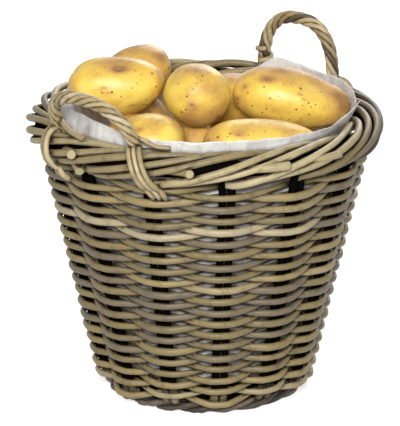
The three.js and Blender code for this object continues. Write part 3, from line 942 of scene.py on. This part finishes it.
# liner: a bag pressed in round the wall, its edge standing up where the heap holds it
liner = {
    "floor": 28.4,
    "corner": 9,
    "neck": 151.9,
    "lip": 159.2,
    "insideWall": 14.2,
    "columns": 360,
    "rows": 90,
    "thickness": 0.5,
    "creases": (2.4, 0.3),  # how deep, and the share that goes outward
    "creaseSizes": ((4, 4, 1), (10, 12, 0.55), (26, 30, 0.2)),  # how many round, how many up, weight
    "slant": 0.12,
    "ragged": ((2.4, 3.1), (1.6, 9)),  # how much the edge goes up and down, and how often round
    "wallTop": 264,  # up to here the bag follows the wall
    "flat": (0.56, 0.56),
    "tops": [  # at, spread, height, lean, in degrees round the heap and millimetres
        (210, 26, 15, -5),
        (278, 40, 6, 0.6),
        (341, 9, 19, 13),
        (12, 20, 3, 4),
        (40, 30, 13, -3),
        (60, 12, 15, 0),
    ],
    "dip": (97, 38, 24),  # where the edge has slid down behind the heap
}


def linerPoint(angle, share):
    rise = lean = 0
    for at, spread, height, out in liner["tops"]:
        weight = swellAt(angle, at, spread)
        rise += height * weight
        lean += out * weight
    at, spread, drop = liner["dip"]
    dip = swellAt(angle, at, spread)
    lift = borderLift(angle + heapTurn) - drop * dip
    lip = mix(liner["lip"], liner["neck"], smooth(dip * 1.6))
    ragged = sum(height * noise.noise(outward(angle) * often) for height, often in liner["ragged"])
    innerWall = wallAt(liner["floor"]) - liner["insideWall"]
    top = borderTop + lift
    wallTop = min(wallAt(liner["wallTop"]) - liner["insideWall"], liner["neck"] - 1)
    profile = [  # share of the way from the middle to the edge, radius, height
        (0, 0, liner["floor"]),
        (0.2, innerWall - 8, liner["floor"]),
        (0.24, innerWall, liner["floor"] + liner["corner"]),
        (0.78, wallTop, liner["wallTop"]),
        (0.84, liner["neck"] - 0.6, basket["borderHeight"] + 4.5 + lift),
        (0.93, lip - 0.8, top - 2.6),
        (1, lip - 0.6 + lean, top + 1 + rise + ragged),
    ]
    for (s0, r0, z0), (s1, r1, z1) in zip(profile, profile[1:]):
        if share <= s1:
            t = (share - s0) / (s1 - s0)
            radius, z = mix(r0, r1, t), mix(z0, z1, t)
            break
    wall = smooth((share - 0.18) / 0.08)
    turned = angle + liner["slant"] * share
    crease = sum(
        weight * abs(noise.noise(outward(turned) * around + up * share * along))
        for around, along, weight in liner["creaseSizes"]
    )
    depth, outwardShare = liner["creases"]
    radius -= wall * depth * (crease - outwardShare)
    floorCrease = (1 - wall) * abs(noise.noise(outward(angle) * radius / 20 + up * 3))
    return polar(angle + heapTurn, radius, z + floorCrease)


form = bmesh.new()
bmesh.ops.create_grid(form, x_segments=liner["columns"], y_segments=liner["rows"], size=0.5)
for vertex in form.verts:
    angle = (vertex.co.x + 0.5) * 2 * math.pi
    vertex.co = linerPoint(angle, max(vertex.co.y + 0.5, 0)) * mm
bmesh.ops.remove_doubles(form, verts=form.verts[:], dist=0.00002)
bmesh.ops.recalc_face_normals(form, faces=form.faces[:])
linerBag = addPiece("linerBag", meshFrom(form, "linerBag", linerFilm), "liner", "liner")
shell = linerBag.modifiers.new("shell", "SOLIDIFY")
shell.thickness = liner["thickness"] * mm
shell.offset = 0
print("liner ready")


# potatoes; eyes, freckles, dents and patches are x, y, z on a unit ball and a reach, then a depth or strength
usual = {"tilt": 0, "taper": 0.05, "bend": 2, "lumps": 0.03, "russetAndShade": 0}
potatoes = {
    "front_left": {
        "size": (78, 66, 62), "yaw": -8, "lumps": 0.035, "seed": 3.1, "prop": 108,
        "eyes": [(0.4, -0.8, 0.16, 3.2), (-0.2, -0.7, 0.7, 2.4)],
        "freckles": [(0.1, -0.8, 0.3, 0.4)],
    },
    "front_right": {
        "size": (132, 66, 64), "yaw": 12, "tilt": 4, "taper": -0.12, "bend": 3, "lumps": 0.024, "seed": 8.4,
        "prop": 88,
        "eyes": [(0.4, -0.75, 0.45, 3.2), (-0.5, -0.6, 0.6, 2.4), (0.1, -0.8, 0.4, 2.8)],
        "freckles": [(-0.4, -0.7, 0.6, 0.35), (0.3, -0.7, 0.55, 0.3)],
    },
    "back_middle": {
        "size": (80, 62, 60), "yaw": 30, "seed": 5.2, "prop": 101,
        "russetAndShade": 0.2,
    },
    "right": {
        "size": (129, 68, 65), "yaw": -4, "tilt": 9, "taper": -0.1, "bend": -3, "lumps": 0.045, "seed": 11.6,
        "prop": 116, "russetAndShade": 0.05,
        "eyes": [
            (0.14, -0.8, 0.42, 3.4), (0.2, -0.86, 0.3, 2.6), (-0.82, -0.5, 0.3, 3), (-0.85, -0.4, -0.1, 3),
        ],
        "dents": [(0.5, -0.4, 0.9, 15, 5.5), (0.86, 0, 0.5, 13, -3)],
        "freckles": [(0.12, -0.85, 0.35, 0.34), (-0.1, -0.8, -0.3, 0.3)],
        "patches": [(0.98, -0.3, 0.25, 0.6, 0.6), (-0.5, -0.62, 0.7, 0.16, 0.85), (0.1, -0.1, 1, 0.5, 0.2)],
    },
    "middle": {
        "size": (84, 71, 67), "yaw": 108, "taper": -0.1, "lumps": 0.045, "seed": 2.7, "prop": 137,
        "eyes": [(-0.9, 0.42, -0.08, 3.4), (-0.75, -0.35, -0.5, 2.4)],
        "freckles": [(-0.9, 0.25, 0.3, 0.4)],
        "patches": [(-0.4, 0.3, 0.9, 0.5, 0.35), (-0.7, 0.05, -0.7, 0.4, 0.25)],
    },
    "left": {
        "size": (105, 66, 64), "yaw": 3, "taper": -0.06, "bend": 3, "lumps": 0.05, "seed": 6.9, "prop": 121,
        "eyes": [
            (0.02, -0.62, 0.72, 3.4), (-0.3, -0.9, 0.18, 2.6), (-0.2, -0.92, 0.02, 2.2),
            (0.3, -0.8, -0.5, 3),
        ],
        "dents": [(0.12, -0.5, 0.85, 9, 3.2), (0.3, -0.4, 0.85, 12, -2)],
        "freckles": [(-0.26, -0.9, 0.1, 0.3), (0.5, -0.85, 0.2, 0.4)],
        "patches": [(-0.1, -0.2, 1, 0.5, 0.3), (0.05, -0.55, 0.75, 0.16, 0.5)],
    },
    "back_left": {
        "size": (76, 62, 60), "yaw": -6, "tilt": -10, "taper": 0.1, "seed": 9.3,
        "prop": 114,
        "patches": [(0.1, -0.4, 0.9, 0.9, 0.3)],
    },
    "far_left": {"size": (70, 54, 54), "yaw": 112, "seed": 4.4},
    "far_back": {"size": (88, 62, 64), "yaw": 6, "seed": 1.9},
    "far_right": {"size": (88, 64, 64), "yaw": -38, "seed": 7.7},
}
hidden = {
    "rings": [  # how many, first angle, size: the layers under the heap
        (4, 20, (80, 72, 90)),
        (5, 60, (82, 74, 90)),
        (1, 0, (70, 66, 116)),
    ],
    "propPlan": (68, 64),
    "propTurn": 70,
    # painted shade: the hidden potatoes get a browner cover, as shadow under the heap
    "look": {"taper": 0.04, "bend": 0, "lumps": 0.015, "russetAndShade": 0.35},
}
ease = 0.972  # keeps the round skins clear of each other where the faceted solids touch
eyeForm = {  # depth, height or strength, then the reach against the eye's own
    "pit": (1.5, 0.5),
    "brow": (0.25, 0.6),
    "shade": (0.9, 0.46),
    "stain": (0.4, 1.5),
    "squeeze": 2.2,
}
# the top, ends and under amounts are painted shade where light falls off; all and clouds are the skin's own
# tan
tanAndShade = {"all": 0.1, "top": 0.42, "ends": 0.4, "under": 0.34, "clouds": 0.3}


# a potato about its own middle, in millimetres, lying along X
def potatoForm(spec, subdivisions):
    def marks(key):
        return [(Vector(mark[:3]).normalized(), *mark[3:]) for mark in spec.get(key, [])]

    form = bmesh.new()
    russetAndShadeLayer = form.verts.layers.float.new("russetAndShade")
    eyeLayer = form.verts.layers.float.new("eye")
    freckleLayer = form.verts.layers.float.new("freckles")
    bmesh.ops.create_icosphere(form, subdivisions=subdivisions, radius=1)
    length, width, height = spec["size"]
    drift = Vector((spec["seed"], spec["seed"] * 2.3, -spec["seed"]))
    eyes, dents, patches, clusters = (marks(key) for key in ("eyes", "dents", "patches", "freckles"))
    for vertex in form.verts:
        unit = vertex.co.copy()
        swell = 1 + spec["taper"] * unit.x
        girth = math.hypot(unit.y, unit.z)
        full = girth ** -0.08 if girth > 0.01 else 1
        place = Vector((unit.x * length, unit.y * full * swell * width, unit.z * full * swell * height)) / 2
        place.z += spec["bend"] * (unit.x ** 2 - 0.4)
        lump = noise.noise(unit * 1.4 + drift) * 0.9 + noise.noise(unit * 3.1 - drift) * 0.32
        place *= 1 + spec["lumps"] * lump
        eyeShade = speckled = stain = 0
        for direction, reach in eyes:
            apart = unit - direction
            away = apart.length * width / 2
            squeezed = Vector((apart.x, apart.y, apart.z * eyeForm["squeeze"])).length * width / 2
            depth, share = eyeForm["pit"]
            place -= unit * depth * bell(squeezed, reach * share)
            rise, share = eyeForm["brow"]
            place += unit * rise * bell(away - reach, reach * share)
            strength, share = eyeForm["shade"]
            eyeShade = max(eyeShade, strength * bell(squeezed, reach * share))
            strength, share = eyeForm["stain"]
            stain = max(stain, strength * bell(away, reach * share))
        for direction, reach, depth in dents:
            place -= unit * depth * bell((unit - direction).length * width / 2, reach)
        for direction, reach in clusters:
            speckled = max(speckled, bell((unit - direction).length, reach))
        # painted shade: the tan cover rises on the top, at the ends and underneath; clouds, stains and
        # patches are the skin's own russet
        cover = tanAndShade["all"] + tanAndShade["top"] * smooth((unit.z - 0.1) / 1.1)
        cover += tanAndShade["ends"] * smooth((abs(unit.x) - 0.6) / 0.4)
        cover += (tanAndShade["under"] * smooth(0.2 - unit.z) + tanAndShade["clouds"] * noise.noise(unit * 2.2 + drift)
                  + spec["russetAndShade"] + stain)
        for direction, reach, strength in patches:
            cover += strength * bell((unit - direction).length, reach)
        vertex[russetAndShadeLayer] = cover
        vertex[eyeLayer] = eyeShade
        vertex[freckleLayer] = 0.9 * speckled + 0.25 * noise.noise(unit * 3 + drift)
        vertex.co = place * ease
    return form


def addPotato(name, spec, subdivisions, node, body):
    spec = {**usual, **spec}
    form = potatoForm(spec, subdivisions)
    turn = Matrix.Rotation(heapTurn + math.radians(spec["yaw"]), 4, "Z")
    turn = turn @ Matrix.Rotation(math.radians(spec["tilt"]), 4, "Y")
    bmesh.ops.transform(form, matrix=turn, verts=form.verts[:])
    low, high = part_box(node)
    spans = [[vertex.co[axis] for vertex in form.verts] for axis in range(3)]
    own = Vector([(min(span) + max(span)) / 2 for span in spans])
    bmesh.ops.translate(form, vec=(low + high) / 2 / mm - own, verts=form.verts[:])
    bmesh.ops.scale(form, vec=Vector((mm, mm, mm)), verts=form.verts[:])
    addPiece(name, meshFrom(form, name, potatoSkin), node, body)


for name, spec in potatoes.items():
    node = "potato_" + name
    label = "potato" + "".join(word.capitalize() for word in name.split("_"))
    fineness = 6 if "eyes" in spec else 5
    addPotato(label, spec, fineness, node, node if "prop" in spec else "liner")

under = []
for count, start, size in hidden["rings"]:
    under += [(size, start + 360 * i / count + 90) for i in range(count)]
for spec in potatoes.values():
    if "prop" in spec:
        under.append(((*hidden["propPlan"], spec["prop"]), spec["yaw"] + hidden["propTurn"]))
for i, (size, yaw) in enumerate(under):
    spec = {**hidden["look"], "size": size, "yaw": yaw, "seed": 20.5 + i}
    addPotato("potatoUnder%d" % (i + 1), spec, 4, "potato_under_%02d" % (i + 1), "liner")
print("potatoes ready")


# floor, light and camera; places are right, away and up from the basket
studio = {
    "azimuth": -55,
    "elevation": 17.5,
    "distance": 4.2,
    "aim": (-4.8, 0, 190.8),
    "frameHeight": 457,
    "sensor": 36,
    "worldLight": 0.22,
    "floorShade": 0.6,
    "floorGlow": 0.72,
    "floorRadius": 8,
    "lampAim": 0.2,  # metres up
    "lamps": {  # place in metres, size in metres, power in watts
        "key": ((-0.2, -3.7, 2.0), 1.1, 188),
        "rim": ((0.8, 3.0, 2.0), 2.4, 80),
    },
}
turned = math.radians(studio["azimuth"])
lifted = math.radians(studio["elevation"])
cameraRight = outward(turned)
cameraAway = sideways(turned)


def studioPlace(right, away, high):
    return cameraRight * right + cameraAway * away + up * high


back = up * math.sin(lifted) - cameraAway * math.cos(lifted)
camera = bpy.data.cameras.new("camera")
camera.sensor_width = studio["sensor"]
camera.lens = studio["sensor"] * studio["distance"] / (studio["frameHeight"] * mm)
camera.clip_end = 100
cameraObject = addObject("camera", camera)
cameraObject.location = studioPlace(*studio["aim"]) * mm + back * studio["distance"]
cameraObject.rotation_euler = back.to_track_quat("Z", "Y").to_euler()
bpy.context.scene.camera = cameraObject

floorShader = Shader("paleFloor")
glow = floorShader.times(floorShader.backdropRays(), studio["floorGlow"])
floorShader.fill(floorShader.skin, {
    "Base Color": (*[studio["floorShade"]] * 3, 1),
    "Roughness": 0.9,
    "Specular IOR Level": 0.0,
    "Emission Color": (1, 1, 1, 1),
    "Emission Strength": glow,
})
form = bmesh.new()
bmesh.ops.create_circle(form, cap_ends=True, segments=64, radius=studio["floorRadius"])
bmesh.ops.translate(form, vec=Vector((0, 0, -0.0005)), verts=form.verts[:])
addObject("floor", meshFrom(form, "floor", floorShader.owner, smooth=False))

for name, (place, size, power) in studio["lamps"].items():
    lamp = bpy.data.lights.new(name, "AREA")
    lamp.shape = "DISK"
    lamp.size = size
    lamp.energy = power
    lampObject = addObject(name, lamp)
    lampObject.location = studioPlace(*place)
    aim = lampObject.location - up * studio["lampAim"]
    lampObject.rotation_euler = aim.to_track_quat("Z", "Y").to_euler()

# the world is white to the camera and a soft even light to everything else
worldShader = Shader("studio", world=True)
strength = worldShader.spread(worldShader.backdropRays(), 0, 1, studio["worldLight"], 1.0)
worldShader.fill(worldShader.skin, {"Color": (1, 1, 1, 1), "Strength": strength})
bpy.context.scene.world = worldShader.owner
bpy.context.scene.view_settings.view_transform = "Standard"
print("stage ready")
